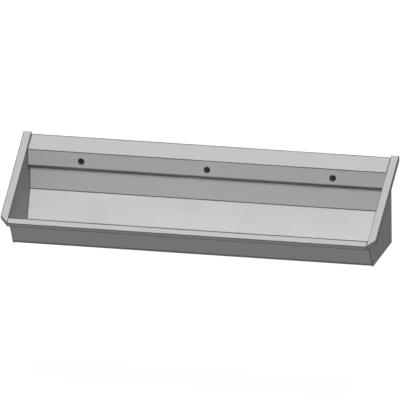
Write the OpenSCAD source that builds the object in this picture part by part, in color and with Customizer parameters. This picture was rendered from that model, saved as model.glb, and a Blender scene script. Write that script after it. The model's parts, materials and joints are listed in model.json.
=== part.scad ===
// Wall-hung wash trough of folded stainless sheet, with three tap holes and a central waste.
// X runs along the trough, the wall is the plane Y = 0, the front is towards -Y.
// Heights below are measured from the bottom edge of the end panels. The origin is on the wall,
// in the middle of the trough, at the height of the wall rail's screw line.

/* [Sheet] */
// Length of the trough between its end panels
inner_length = 2000; // [1800:10:2600]
// Thickness of the folded sheet
sheet = 1.5; // [1:0.1:2]
// Inside radius of the folds
fold_r = 2; // [1:0.5:3]

/* [Rim and end panels] */
// Distance from the wall to the front edge of the rim
depth = 600; // [560:5:680]
// Height of the end flanges at the wall
rear_height = 495; // [490:1:560]
// Height of the rim's front edge
front_height = 160; // [130:1:200]
// Width of the front rim and of the end flanges
rim_w = 46; // [30:1:60]
// Height of the lip that is turned down along the rim and the end flanges
lip_h = 25; // [15:1:35]
// Width of the returns of the end panels along the wall
end_return_w = 30; // [15:1:40]

/* [Hood] */
// Distance of the hood's top below the end flanges, at the wall
hood_drop = 8; // [3:1:15]
// Distance from the wall to the tap panel
tap_panel_out = 110; // [95:1:130]
// Slope of the hood's top, in degrees
hood_slope = 27; // [20:1:32]
// Height of the tap panel
tap_panel_h = 90; // [80:1:110]
// Distance that the undercut runs back from the tap panel
undercut_back = 50; // [40:1:60]
// Drop of the undercut from the tap panel to the lower wall
undercut_drop = 25; // [15:1:35]
// Height of the lap of the hood behind the lower wall
lap_h = 20; // [10:1:30]
// Height of the hood's return down the wall
rear_return_h = 30; // [22:1:36]

/* [Bowl] */
// Height of the lower wall, from the undercut to the floor slope
lower_wall_h = 123; // [100:1:140]
// Slope of the floor behind the gutter, in degrees
floor_slope = 64.7; // [55:0.1:75]
// Lean of the front panel from the vertical, in degrees
front_lean = 31.7; // [20:0.1:35]
// Height of the gutter's underside above the bottom edge of the end panels
base_gap = 16; // [14:1:30]

/* [Tap holes] */
// Distance between the tap holes
tap_pitch = 700; // [500:10:850]
// Diameter of a tap hole
tap_hole_d = 28; // [20:1:35]
// Height of the tap holes above the tap panel's bottom edge
tap_hole_up = 39; // [36:1:50]
// Length of the plate behind a tap hole
tap_plate_l = 90; // [60:1:120]
// Height of the plate behind a tap hole
tap_plate_h = 60; // [50:1:64]
// Thickness of the plate behind a tap hole
tap_plate_t = 3; // [2:0.5:4]

/* [Wall rail] */
// Thickness of the wall rail
rail_t = 3; // [2:0.5:4]
// Distance of the wall rail's screw line below the hood's top, at the wall
rail_drop = 82; // [74:1:100]
// Height of the wall rail's foot, from its lower edge to the jog
rail_foot_h = 100; // [60:1:120]
// Distance of the rail's screw line below the jog
rail_hole_down = 20; // [15:1:30]
// Distance that the rail's tongue stands off the wall
rail_jog = 6; // [5:0.5:8]
// Height of the rail's tongue
tongue_h = 18; // [10:1:24]
// Distance from each end panel to the ends of both rails
rail_end_gap = 50; // [32:1:100]
// Diameter of a screw hole in the wall rail
rail_hole_d = 9; // [6:0.5:12]
// Distance from each end of the wall rail to its outer screw hole
rail_hole_in = 50; // [20:5:200]
// Distance between the two inner screw holes
rail_inner_pitch = 600; // [400:10:900]
// Thickness of the hanger strip on the hood
hanger_t = 2.5; // [2:0.5:3]
// Length over which the hanger strip laps the hood's return
hanger_lap = 18; // [12:1:22]

/* [Brackets] */
// Distance from each end panel to the nearest bracket's web
bracket_in = 400; // [280:10:420]
// Thickness of the brackets
bracket_t = 3; // [2:0.5:4]
// Width of a bracket's wall plate and of its seat
bracket_w = 42; // [36:1:60]
// Height of the top of a bracket's wall plate
bracket_top = 240; // [200:1:280]
// Height of the bottom of a bracket
bracket_bottom = 2; // [0:0.5:4]
// Distance from the wall to the front of a bracket's seat
bracket_reach = 390; // [350:1:400]
// Height of the lower screw hole in a bracket's wall plate
bracket_hole_low = 60; // [40:1:90]
// Distance between the two screw holes of a bracket
bracket_hole_pitch = 140; // [100:1:150]
// Diameter of a screw hole in a bracket's wall plate
bracket_hole_d = 11; // [8:0.5:13]
// Space between a bracket's web and the bowl's rear faces
web_gap = 2; // [1:0.5:4]

/* [Studs] */
// Diameter of the studs under the gutter
stud_d = 8; // [6:1:10]
// Distance from the wall to the rear studs
stud_rear = 205; // [190:1:230]
// Distance between the rear and the front stud of a bracket
stud_pitch = 145; // [100:1:150]
// Thickness of the washers and nuts together
stud_stack = 8; // [7:0.5:9]

/* [Waste] */
// Distance from the wall to the middle of the waste
waste_out = 275; // [250:1:300]
// Outer diameter of the waste's threaded tail
tail_d = 47.8; // [40:0.1:60]
// Bore of the tail
tail_bore_d = 41; // [34:0.5:42]
// Length of the tail below the gutter's underside
tail_l = 47; // [40:1:60]
// Diameter of the waste's flange
flange_d = 76; // [70:1:90]
// Thickness of the waste's flange
flange_t = 3; // [2.5:0.5:4]
// Thickness of the gasket and of the washer below the sheet
gasket_t = 1.5; // [1:0.5:2]
// Thickness of the waste's back nut
waste_nut_t = 7; // [5:0.5:7.5]
// Width of the groove where the tail's thread is interrupted, below the back nut
groove_w = 2; // [1:0.5:4]
// Depth of that groove
groove_depth = 0.6; // [0.4:0.1:1]
// Diameter of the strainer grid
grid_d = 62; // [54:1:66]
// Thickness of the strainer grid
grid_t = 1.5; // [1:0.5:2]
// Diameter of the holes in the strainer grid
grid_hole_d = 5; // [3:0.5:6]

/* [Damping and earthing] */
// Thickness of the damping mats
pad_t = 3; // [2:0.5:5]
// Length of a damping mat
pad_l = 430; // [200:10:460]
// Width of a damping mat
pad_w = 190; // [100:5:200]
// Distance from the right end panel to the middle of the earth tag
earth_in = 220; // [40:10:260]
// Diameter of the earth screw
earth_d = 6; // [4:1:6]

/* [Stiffener] */
// Width of the channel under the front of the gutter
stiffener_w = 30; // [20:1:34]
// Height of the channel
stiffener_h = 12; // [8:1:13]
// Thickness of the channel
stiffener_t = 2; // [1.5:0.5:3]
// Distance from the channel to the bowl's front fold
stiffener_in = 14; // [8:1:20]

/* [Hidden] */
$fn = 64;

// Clearances
seat_gap = 0.3;   // between two pieces that hang or rest on each other
hole_gap = 0.5;   // round a screw or stud in its hole
thread_gap = 0.1; // of a nut or tapped hole over its screw, on the diameter
lap_gap = 1;      // under the hood's fold, above the lower wall's edge
cut = 1;          // overshoot of a tool through a face
fold_steps = 5;   // flats in one fold

// The plane of the rim and the end flanges
rim_slope = atan((rear_height - front_height) / depth);
plane_l = depth / cos(rim_slope);
side_half = inner_length / 2 + rim_w;
chamfer_l = rim_w / cos(rim_slope);

// Section through the trough: points of its seen face, as [distance from the wall, height]
rim_front = [-depth, front_height];
lip_foot = rim_front + lip_h * [sin(rim_slope), -cos(rim_slope)];
rim_rear = rim_front + rim_w * [cos(rim_slope), sin(rim_slope)];
floor_z = base_gap + sheet;
gutter_front = [rim_rear.x + (rim_rear.y - floor_z) * tan(front_lean), floor_z];
hood_top = [0, rear_height - hood_drop];
hood_fold = [-tap_panel_out, hood_top.y - tap_panel_out * tan(hood_slope)];
panel_foot = [-tap_panel_out, hood_fold.y - tap_panel_h];
lower_wall_out = tap_panel_out - undercut_back;
wall_top = [-lower_wall_out, panel_foot.y - undercut_drop];
wall_foot = [-lower_wall_out, wall_top.y - lower_wall_h];
gutter_rear = [wall_foot.x - (wall_foot.y - floor_z) / tan(floor_slope), floor_z];
lap_top = wall_top + sheet * [1, -undercut_drop / undercut_back];

bowl_line = [lip_foot, rim_front, rim_rear, gutter_front, gutter_rear, wall_foot,
             [wall_top.x, lap_top.y - lap_gap]];
hood_line = [lap_top - [0, lap_h], lap_top, panel_foot, hood_fold, hood_top,
             hood_top - [0, rear_return_h]];

// The tap holes and their plates
tap_z = panel_foot.y + tap_hole_up;
tap_plate_y = -tap_panel_out + sheet;

// The wall rail. Its seen line runs down its wall side.
rail_line = hood_top.y - rail_drop;
rail_fold_z = rail_line + rail_hole_down;
rail_line_points = [[-rail_jog, rail_fold_z + rail_jog + tongue_h], [-rail_jog, rail_fold_z + rail_jog],
                    [0, rail_fold_z], [0, rail_fold_z - rail_foot_h]];
rail_l = inner_length - 2 * rail_end_gap;
rail_outer_pitch = rail_l - 2 * rail_hole_in;
hanger_foot = rail_fold_z + sheet + hanger_t + seat_gap;
hanger_top = hood_top.y - rear_return_h + hanger_lap;

// The waste, from the gutter's floor down
recess_depth = flange_t + gasket_t;
recess_floor = floor_z - recess_depth;
recess_under = recess_floor - sheet;
recess_r = flange_d / 2 + 14;
recess_foot_r = flange_d / 2 + 5;
waste_hole_r = tail_d / 2 + 2;
grid_seat = floor_z - grid_t;
nut_under = recess_under - gasket_t - waste_nut_t;
bar_w = 9;
bar_h = 8;
strainer_screw_d = 6;

// The brackets, the studs and their nuts
bracket_x = inner_length / 2 - bracket_in;
stud_washer_t = stud_stack / 5;
stud_nut_t = stud_stack - stud_washer_t;
seat_under = base_gap - bracket_t;

// The earth tag, behind the studs
earth_x = inner_length / 2 - earth_in;
earth_y = -stud_rear - 10;
earth_tag_t = 2;
earth_tag_w = 22;
earth_z = base_gap / 2 - 1;

// ---------- Helpers ----------

function heading(a, b) = atan2(b.y - a.y, b.x - a.x);
function turned(angle) = angle > 180 ? angle - 360 : angle < -180 ? angle + 360 : angle;
function right_of(angle) = [sin(angle), -cos(angle)];

// Points of a face round the fold at b. The face lies off to the right of the seen face.
function fold(a, b, c, t, off) =
    let (from = heading(a, b),
         turn = turned(heading(b, c) - from),
         side = turn > 0 ? 1 : -1,
         r = turn > 0 ? fold_r : fold_r + t,
         centre = b - side * r / cos(turn / 2) * right_of(from + turn / 2))
    [for (i = [0:fold_steps]) centre + side * (r + side * off) * right_of(from + turn * i / fold_steps)];

// One face of a folded strip, from the first point to the last
function face(line, t, off) =
    let (last = len(line) - 1)
    concat([line[0] + off * right_of(heading(line[0], line[1]))],
           [for (i = [1:last - 1]) each fold(line[i - 1], line[i], line[i + 1], t, off)],
           [line[last] + off * right_of(heading(line[last - 1], line[last]))]);

function reversed(list) = [for (i = [len(list) - 1:-1:0]) list[i]];

// Puts a piece that was built up from the end panels' bottom edge into the part's frame
module in_place() {
    translate([0, 0, -rail_line]) children();
}

// A section in [distance from the wall, height], drawn along X
module along_x(length) {
    rotate([90, 0, 90]) linear_extrude(length, center = true) children();
}

// A folded strip of sheet; its line is the seen face, and the sheet lies to the line's right
module folded(line, t, length) {
    along_x(length) polygon(concat(face(line, t, 0), reversed(face(line, t, t))));
}

module on_rim_plane() {
    translate([0, -depth, front_height]) rotate([rim_slope, 0, 0]) children();
}

module hexagon(across_flats, h) {
    cylinder(d = across_flats / cos(30), h = h, $fn = 6);
}

module ring(outer_d, inner_d, h) {
    difference() {
        cylinder(d = outer_d, h = h);
        translate([0, 0, -cut]) cylinder(d = inner_d, h = h + 2 * cut);
    }
}

module at_waste(z) {
    translate([0, -waste_out, z]) children();
}

module at_studs(z) {
    for (side = [-1, 1], i = [0, 1])
        translate([side * (bracket_x + bracket_t + (bracket_w - bracket_t) / 2),
                   -stud_rear - i * stud_pitch, z]) children();
}

// ---------- Folded sheets ----------

module waste_recess() {
    rotate_extrude()
        polygon([[recess_r, floor_z], [recess_foot_r, recess_floor], [waste_hole_r, recess_floor],
                 [waste_hole_r, recess_under], [recess_foot_r, recess_under], [recess_r, base_gap]]);
}

module bowl() {
    color("gainsboro") in_place() {
        difference() {
            folded(bowl_line, sheet, inner_length);
            at_waste(base_gap - cut) cylinder(r = recess_r, h = sheet + 2 * cut);
        }
        at_waste(0) waste_recess();
    }
}

module hood() {
    color("silver") in_place()
        difference() {
            folded(hood_line, sheet, inner_length);
            for (i = [-1:1])
                translate([i * tap_pitch, -tap_panel_out - cut, tap_z])
                    rotate([-90, 0, 0]) cylinder(d = tap_hole_d, h = sheet + 2 * cut);
        }
}

// Outline of the upright panel: under the flanges' plane, flush with the front panel's outer face
module end_outline() {
    skin = sheet / cos(front_lean);
    top_skin = skin / (1 + tan(rim_slope) * tan(front_lean));
    front_foot = rim_rear.x + rim_rear.y * tan(front_lean) - skin;
    polygon([[0, 0], [0, rear_height], rim_rear - top_skin * [1, tan(rim_slope)], [front_foot, 0]]);
}

// How far up the rim's plane the chamfered edge, moved in by inset, lies at x
function chamfer_at(x, inset) =
    ((x - inner_length / 2) * chamfer_l + inset * norm([chamfer_l, rim_w])) / rim_w;

// The flange's outline in the rim's plane: across, and up the slope from the front edge
module flange_outline(inset) {
    near = inner_length / 2 - inset;
    far = side_half - inset;
    top = plane_l + lip_h + inset;
    polygon([[near, chamfer_at(near, inset)], [far, chamfer_at(far, inset)], [far, top], [near, top]]);
}

module end_flange_and_lip() {
    on_rim_plane() {
        translate([0, 0, -sheet]) linear_extrude(sheet) flange_outline(0);
        translate([0, 0, -lip_h]) linear_extrude(lip_h)
            difference() {
                flange_outline(0);
                flange_outline(sheet);
            }
    }
}

module end_panel() {
    color("lightgray") in_place() {
        translate([inner_length / 2 + sheet / 2, 0, 0]) along_x(sheet) end_outline();
        translate([inner_length / 2 - end_return_w, -sheet, base_gap])
            cube([end_return_w + sheet, sheet, hood_top.y - rear_return_h - 2 * base_gap]);
        intersection() {
            end_flange_and_lip();
            translate([0, -2 * depth, 0]) cube([side_half + cut, 2 * depth, 2 * rear_height]);
        }
    }
}

module left_end_panel() {
    mirror([1, 0, 0]) end_panel();
}

module right_end_panel() {
    end_panel();
}

// ---------- Tap plates ----------

module tap_plate(place) {
    color("darkgray") in_place()
        translate([place * tap_pitch, tap_plate_y, tap_z])
            difference() {
                translate([-tap_plate_l / 2, 0, -tap_plate_h / 2])
                    cube([tap_plate_l, tap_plate_t, tap_plate_h]);
                translate([0, -cut, 0]) rotate([-90, 0, 0]) cylinder(d = tap_hole_d, h = tap_plate_t + 2 * cut);
            }
}

module tap_plate_left() {
    tap_plate(-1);
}

module tap_plate_centre() {
    tap_plate(0);
}

module tap_plate_right() {
    tap_plate(1);
}

// ---------- Wall fixing ----------

module hanger_rail() {
    color("darkgray") in_place()
        translate([-rail_l / 2, -sheet - hanger_t, hanger_foot])
            cube([rail_l, hanger_t, hanger_top - hanger_foot]);
}

module wall_rail() {
    color("gray") in_place()
        difference() {
            folded(rail_line_points, rail_t, rail_l);
            for (pitch = [rail_outer_pitch, rail_inner_pitch], side = [-1, 1])
                translate([side * pitch / 2, cut, rail_line])
                    rotate([90, 0, 0]) cylinder(d = rail_hole_d, h = rail_t + 2 * cut);
        }
}

// Outline of a bracket's web: from the wall, behind the floor slope, to under the gutter
module web_outline() {
    back = -lower_wall_out + sheet + web_gap;
    slope_back = (sheet + web_gap) / sin(floor_slope);
    polygon([[0, bracket_bottom], [0, bracket_top], [back, bracket_top],
             [back, wall_foot.y - (slope_back - sheet - web_gap) * tan(floor_slope)],
             [gutter_rear.x + slope_back - sheet / tan(floor_slope), base_gap], [-bracket_reach, base_gap],
             [-bracket_reach, bracket_bottom]]);
}

module bracket() {
    seat_rear = -gutter_rear.x + fold_r + sheet;
    stud_x = bracket_t + (bracket_w - bracket_t) / 2;
    color("gray") in_place() translate([bracket_x, 0, 0]) {
        translate([bracket_t / 2, 0, 0]) along_x(bracket_t) web_outline();
        difference() {
            translate([0, -bracket_t, bracket_bottom])
                cube([bracket_w, bracket_t, bracket_top - bracket_bottom]);
            for (i = [0, 1])
                translate([stud_x, cut, bracket_hole_low + i * bracket_hole_pitch])
                    rotate([90, 0, 0]) cylinder(d = bracket_hole_d, h = bracket_t + 2 * cut);
        }
        difference() {
            translate([0, -bracket_reach, seat_under])
                cube([bracket_w, bracket_reach - seat_rear, bracket_t]);
            for (i = [0, 1])
                translate([stud_x, -stud_rear - i * stud_pitch, seat_under - cut])
                    cylinder(d = stud_d + 2 * hole_gap, h = bracket_t + 2 * cut);
        }
    }
}

module left_bracket() {
    mirror([1, 0, 0]) bracket();
}

module right_bracket() {
    bracket();
}

module trough_studs() {
    color("silver") in_place() at_studs(seat_under - stud_stack - hole_gap)
        cylinder(d = stud_d, h = bracket_t + stud_stack + hole_gap);
}

module stud_washers() {
    color("lightgray") in_place() at_studs(seat_under - stud_washer_t)
        ring(2 * stud_d, stud_d + 2 * hole_gap, stud_washer_t);
}

module stud_nuts() {
    color("silver") in_place() at_studs(seat_under - stud_stack)
        difference() {
            hexagon(1.6 * stud_d, stud_nut_t);
            translate([0, 0, -cut]) cylinder(d = stud_d + thread_gap, h = stud_nut_t + 2 * cut);
        }
}

// ---------- Stiffener and mats ----------

module front_stiffener() {
    front = gutter_front.x + stiffener_in;
    color("gray") in_place()
        along_x(inner_length - 2 * stiffener_t)
            difference() {
                translate([front, base_gap - stiffener_h]) square([stiffener_w, stiffener_h]);
                translate([front + stiffener_t, base_gap - stiffener_h + stiffener_t])
                    square([stiffener_w - 2 * stiffener_t, stiffener_h]);
            }
}

module sound_pad(side) {
    near = side > 0 ? bracket_x - pad_l : -bracket_x;
    color("dimgray") in_place()
        translate([near - side * 2 * pad_t, -waste_out - pad_w / 2, base_gap - pad_t])
            cube([pad_l, pad_w, pad_t]);
}

module left_sound_pad() {
    sound_pad(-1);
}

module right_sound_pad() {
    sound_pad(1);
}

// ---------- Waste ----------

module waste_tail() {
    difference() {
        translate([0, 0, base_gap - tail_l]) cylinder(d = tail_d, h = floor_z + tail_l - base_gap - flange_t / 2);
        translate([0, 0, nut_under - groove_w]) ring(tail_d + cut, tail_d - 2 * groove_depth, groove_w);
    }
}

module cross_bar() {
    difference() {
        intersection() {
            translate([-tail_d / 2, -bar_w / 2, grid_seat - bar_h]) cube([tail_d, bar_w, bar_h]);
            cylinder(d = tail_bore_d + cut, h = floor_z);
        }
        translate([0, 0, grid_seat - bar_h - cut])
            cylinder(d = strainer_screw_d + thread_gap, h = bar_h + 2 * cut);
    }
}

module waste_body() {
    color("silver") in_place() at_waste(0) {
        difference() {
            union() {
                translate([0, 0, floor_z - flange_t]) cylinder(d = flange_d, h = flange_t);
                waste_tail();
            }
            translate([0, 0, grid_seat]) cylinder(d = grid_d + 2 * hole_gap, h = grid_t + cut);
            translate([0, 0, base_gap - tail_l - cut]) cylinder(d = tail_bore_d, h = tail_l + floor_z);
        }
        cross_bar();
    }
}

module waste_gasket() {
    color("dimgray") in_place() at_waste(recess_floor) ring(flange_d, 2 * waste_hole_r, gasket_t);
}

module waste_washer() {
    color("dimgray") in_place() at_waste(recess_under - gasket_t)
        ring(flange_d - 6, tail_d + 2 * hole_gap, gasket_t);
}

module waste_nut() {
    color("silver") in_place() at_waste(nut_under)
        difference() {
            hexagon(tail_d + 14, waste_nut_t);
            translate([0, 0, -cut]) cylinder(d = tail_d + thread_gap, h = waste_nut_t + 2 * cut);
        }
}

// The rings of holes lie between the screw's head and the tail's bore
module strainer_grid() {
    room = tail_bore_d / 2 - strainer_screw_d;
    rings = floor(room / (1.4 * grid_hole_d));
    color("silver") in_place() at_waste(grid_seat)
        difference() {
            cylinder(d = grid_d, h = grid_t);
            translate([0, 0, -cut]) {
                cylinder(d = strainer_screw_d + hole_gap, h = grid_t + 2 * cut);
                for (i = [1:rings], k = [1:6 * i])
                    rotate([0, 0, 60 * (k - 0.5) / i])
                        translate([strainer_screw_d + room * (i - 0.5) / rings, 0, 0])
                            cylinder(d = grid_hole_d, h = grid_t + 2 * cut, $fn = 16);
            }
        }
}

module strainer_screw() {
    head_h = strainer_screw_d / 3;
    slot_w = strainer_screw_d / 5;
    color("silver") in_place() at_waste(floor_z)
        difference() {
            union() {
                cylinder(d = 2 * strainer_screw_d, h = head_h);
                translate([0, 0, -grid_t - bar_h]) cylinder(d = strainer_screw_d, h = grid_t + bar_h + cut);
            }
            translate([-2 * strainer_screw_d, -slot_w / 2, head_h / 2])
                cube([4 * strainer_screw_d, slot_w, head_h]);
        }
}

// ---------- Earth connection ----------

module at_earth(y) {
    translate([earth_x, earth_y + y, earth_z]) rotate([-90, 0, 0]) children();
}

module earth_tag() {
    color("silver") in_place()
        difference() {
            translate([earth_x - earth_tag_w / 2, earth_y, 0]) {
                cube([earth_tag_w, earth_tag_t, base_gap]);
                translate([0, 0, base_gap - earth_tag_t]) cube([earth_tag_w, earth_tag_w, earth_tag_t]);
            }
            at_earth(-cut) cylinder(d = earth_d + hole_gap, h = earth_tag_t + 2 * cut);
        }
}

module earth_washer() {
    color("gold") in_place() at_earth(-earth_tag_t / 2)
        ring(2 * earth_d, earth_d + hole_gap, earth_tag_t / 2);
}

module earth_screw() {
    head_h = 0.7 * earth_d;
    color("gold") in_place() at_earth(-earth_tag_t / 2 - head_h) {
        hexagon(1.6 * earth_d, head_h);
        cylinder(d = earth_d, h = head_h + 2 * earth_tag_t + earth_d);
    }
}

module earth_nut() {
    color("gold") in_place() at_earth(earth_tag_t)
        difference() {
            hexagon(1.6 * earth_d, 0.8 * earth_d);
            translate([0, 0, -cut]) cylinder(d = earth_d + thread_gap, h = earth_d + 2 * cut);
        }
}

bowl();
hood();
left_end_panel();
right_end_panel();
tap_plate_left();
tap_plate_centre();
tap_plate_right();
hanger_rail();
wall_rail();
left_bracket();
right_bracket();
trough_studs();
stud_washers();
stud_nuts();
front_stiffener();
left_sound_pad();
right_sound_pad();
waste_body();
waste_gasket();
waste_washer();
waste_nut();
strainer_grid();
strainer_screw();
earth_tag();
earth_screw();
earth_washer();
earth_nut();
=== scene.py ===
"""Wall-hung wash trough of brushed stainless sheet: looks of its sheets, welds, waste and wall fixings."""

import json
import math

import bmesh
import bpy
from mathutils import Matrix, Vector


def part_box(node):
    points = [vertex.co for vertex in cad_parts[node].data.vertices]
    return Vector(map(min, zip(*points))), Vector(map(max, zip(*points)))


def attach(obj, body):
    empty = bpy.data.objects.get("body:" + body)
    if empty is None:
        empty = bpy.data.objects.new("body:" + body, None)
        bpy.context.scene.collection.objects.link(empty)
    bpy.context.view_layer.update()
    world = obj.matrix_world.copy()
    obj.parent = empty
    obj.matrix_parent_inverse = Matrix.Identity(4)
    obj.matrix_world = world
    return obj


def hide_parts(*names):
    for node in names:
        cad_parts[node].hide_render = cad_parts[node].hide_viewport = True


bl_info = {
    "name": "Wash Trough",
    "version": (1, 0, 0),
    "blender": (4, 5, 0),
    "location": "3D View > Sidebar > Trough",
    "description": "Builds the folded sheets, welds, waste and fixings of a wall-hung wash trough",
    "category": "Object",
}

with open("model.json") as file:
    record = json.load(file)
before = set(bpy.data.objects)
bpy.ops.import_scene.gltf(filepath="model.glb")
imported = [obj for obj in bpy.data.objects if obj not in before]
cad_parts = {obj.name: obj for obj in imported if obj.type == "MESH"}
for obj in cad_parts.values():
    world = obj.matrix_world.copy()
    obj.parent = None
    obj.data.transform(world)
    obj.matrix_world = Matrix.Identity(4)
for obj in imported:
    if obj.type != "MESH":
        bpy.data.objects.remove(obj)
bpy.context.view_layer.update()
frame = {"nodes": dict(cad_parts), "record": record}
BODY = "root"
SLOTS = {piece["node"]: piece["material_slot"] for piece in frame["record"]["subparts"]}
BOWL_LOW, BOWL_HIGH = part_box("bowl")
HOOD_LOW, HOOD_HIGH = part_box("hood")
END_LOW, END_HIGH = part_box("right_end_panel")
TAIL_LOW, TAIL_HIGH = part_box("waste_body")
NUT_LOW, NUT_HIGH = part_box("waste_nut")
GASKET_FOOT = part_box("waste_gasket")[0].z
GRID_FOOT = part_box("strainer_grid")[0].z

ACROSS = Vector((1.0, 0.0, 0.0))
WALLWARDS = Vector((0.0, 1.0, 0.0))
UPWARDS = Vector((0.0, 0.0, 1.0))

# Distances under which places count as one: of built vertices, of points on a line, and of the CAD's vertices
MERGED, MATCHED, TOUCHING = 1e-7, 1e-6, 1e-5
# The turn over which an edge is sharp, and the turn under which an edge of a CAD mesh is taken out
SHARP, EVEN = math.radians(30), math.radians(1)
# Material slots of a folded sheet: flat faces, rounded folds, and an end panel's inner face
FLAT, FOLD, INNER = range(3)
# Points added to each side of a square that becomes a round hole, and the steps round a small round piece
SIDE_CUTS, ROUND_STEPS = 11, 24
# Half the squares of flat sheet that the tap holes and the recess are made in
TAP_PATCH, RECESS_PATCH = 0.0336, 0.078
# Steps round a fold and round a softened edge
FOLD_STEPS, EDGE_STEPS = 6, 2


def number(name, description, default, **options):
    """A value that a user may change."""
    return bpy.props.FloatProperty(name=name, description=description, default=default, **options)


def length(name, description, default):
    """A size in metres."""
    return number(name, description, default, min=0.0, unit="LENGTH", precision=4)


def angle(name, description, degrees):
    return number(name, description, math.radians(degrees), unit="ROTATION")


def share(name, description, default):
    """A number from 0 to 1."""
    return number(name, description, default, min=0.0, max=1.0, subtype="FACTOR")


def colour(name, description, default):
    return bpy.props.FloatVectorProperty(
        name=name, description=description, default=default, size=3, subtype="COLOR", min=0.0, max=1.0
    )


class TroughSizes(bpy.types.PropertyGroup):
    """Sizes of the folded sheets."""

    inner_length: length("Inner length", "Length between the end panels", BOWL_HIGH.x - BOWL_LOW.x)
    depth: length("Depth", "From the wall to the rim's front edge", -END_LOW.y)
    rear_height: length("Rear height", "Height of the end panels at the wall", END_HIGH.z - END_LOW.z)
    front_height: length("Front height", "Height of the rim's front edge", 0.160)
    rim_width: length("Rim width", "Width of the rim and of the end flanges", END_HIGH.x - BOWL_HIGH.x)
    lip_height: length("Lip height", "Height of the lip under the rim", 0.025)
    sheet: length("Sheet", "Thickness of the sheet", 0.0015)
    fold_radius: length("Fold radius", "Inside radius of the folds", 0.002)
    hood_drop: length("Hood drop", "Hood's top below the end flanges, at the wall", END_HIGH.z - HOOD_HIGH.z)
    tap_panel_out: length("Tap panel", "From the wall to the tap panel", -HOOD_LOW.y)
    hood_slope: angle("Hood slope", "Slope of the hood's top", 27.0)
    tap_panel_height: length("Tap panel height", "Height of the tap panel", 0.090)
    undercut_back: length("Undercut depth", "How far the undercut runs back", 0.050)
    undercut_drop: length("Undercut drop", "Drop of the undercut towards the wall", 0.025)
    lap_height: length("Lap", "Height of the hood's lap behind the lower wall", 0.020)
    lap_gap: length("Lap gap", "Between the lower wall's edge and the hood's fold", 0.001)
    rear_return: length("Rear return", "Height of the hood's return down the wall", 0.030)
    lower_wall_height: length("Lower wall", "Height of the wall under the undercut", 0.123)
    floor_slope: angle("Floor slope", "Slope of the floor behind the gutter", 64.7)
    front_lean: angle("Front lean", "Lean of the front panel from the vertical", 31.7)
    base_gap: length("Base gap", "Gutter's underside above the end panels' bottom edge", 0.016)
    end_return: length("End return", "Width of the end panels' returns by the wall", BOWL_HIGH.x - END_LOW.x)


class FittingSizes(bpy.types.PropertyGroup):
    """Sizes of the tap holes, the waste, the fasteners and the seams."""

    tap_pitch: length("Tap pitch", "Distance between the tap holes", 0.700)
    tap_hole: length("Tap hole", "Diameter of a tap hole", 0.028)
    # The pressed edge is modelled; its dark colour, out to this width, is painted shade round the tap hole
    hole_edge: length("Hole edge", "Width of the dark, pressed edge round a tap hole", 0.0045)
    tap_height: length("Tap height", "Tap holes above the tap panel's bottom edge", 0.039)
    waste_out: length("Waste", "From the wall to the middle of the waste", -(TAIL_LOW.y + TAIL_HIGH.y) / 2)
    recess_radius: length("Recess radius", "Radius of the pressed recess round the waste", 0.052)
    recess_foot: length("Recess floor radius", "Radius of the recess's flat floor", 0.043)
    waste_hole: length("Waste hole", "Radius of the hole in the recess", 0.0259)
    weld: length("Weld", "Radius of a ground weld seam, less than the sheet", 0.0014)
    stitch: length("Stitch", "Radius of the short weld seams", 0.0014)
    stitch_length: length("Stitch length", "Length of the short weld seams", 0.030)
    stitch_pitch: length("Stitch pitch", "Distance between the short weld seams", 0.240)
    stud_radius: length("Stud radius", "Radius of the studs under the gutter", 0.004)
    stud_pitch: length("Stud thread", "Pitch of the studs' thread", 0.00125)
    earth_radius: length("Earth screw radius", "Radius of the earth screw", 0.003)
    earth_pitch: length("Earth screw thread", "Pitch of the earth screw's thread", 0.001)
    cut_edge: length("Cut edge", "Rounding of the rails' and brackets' edges", 0.0005)
    mat_edge: length("Mat edge", "Rounding of the damping mats' edges", 0.0012)
    grid_edge: length("Strainer edge", "Rounding of the strainer grid's and its screw's edges", 0.0003)
    flange_thickness: length("Flange thickness", "Thickness of the waste's flange", 0.003)
    flange_edge: length("Flange edge", "Rounding of the waste's flange", 0.0012)
    tail_radius: length("Tail radius", "Radius of the waste's thread", 0.0239)
    tail_bore: length("Tail bore", "Radius of the waste's bore", 0.0205)
    thread_depth: length("Thread depth", "Depth of the waste's thread", 0.001)
    thread_pitch: length("Thread pitch", "Pitch of the waste's thread", 0.0023)
    grid_seat_radius: length("Grid seat", "Radius of the seat round the strainer grid", 0.0315)
    bar_width: length("Bar width", "Width of the bar across the waste", 0.009)
    bar_height: length("Bar height", "Height of the bar across the waste", 0.008)


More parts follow.
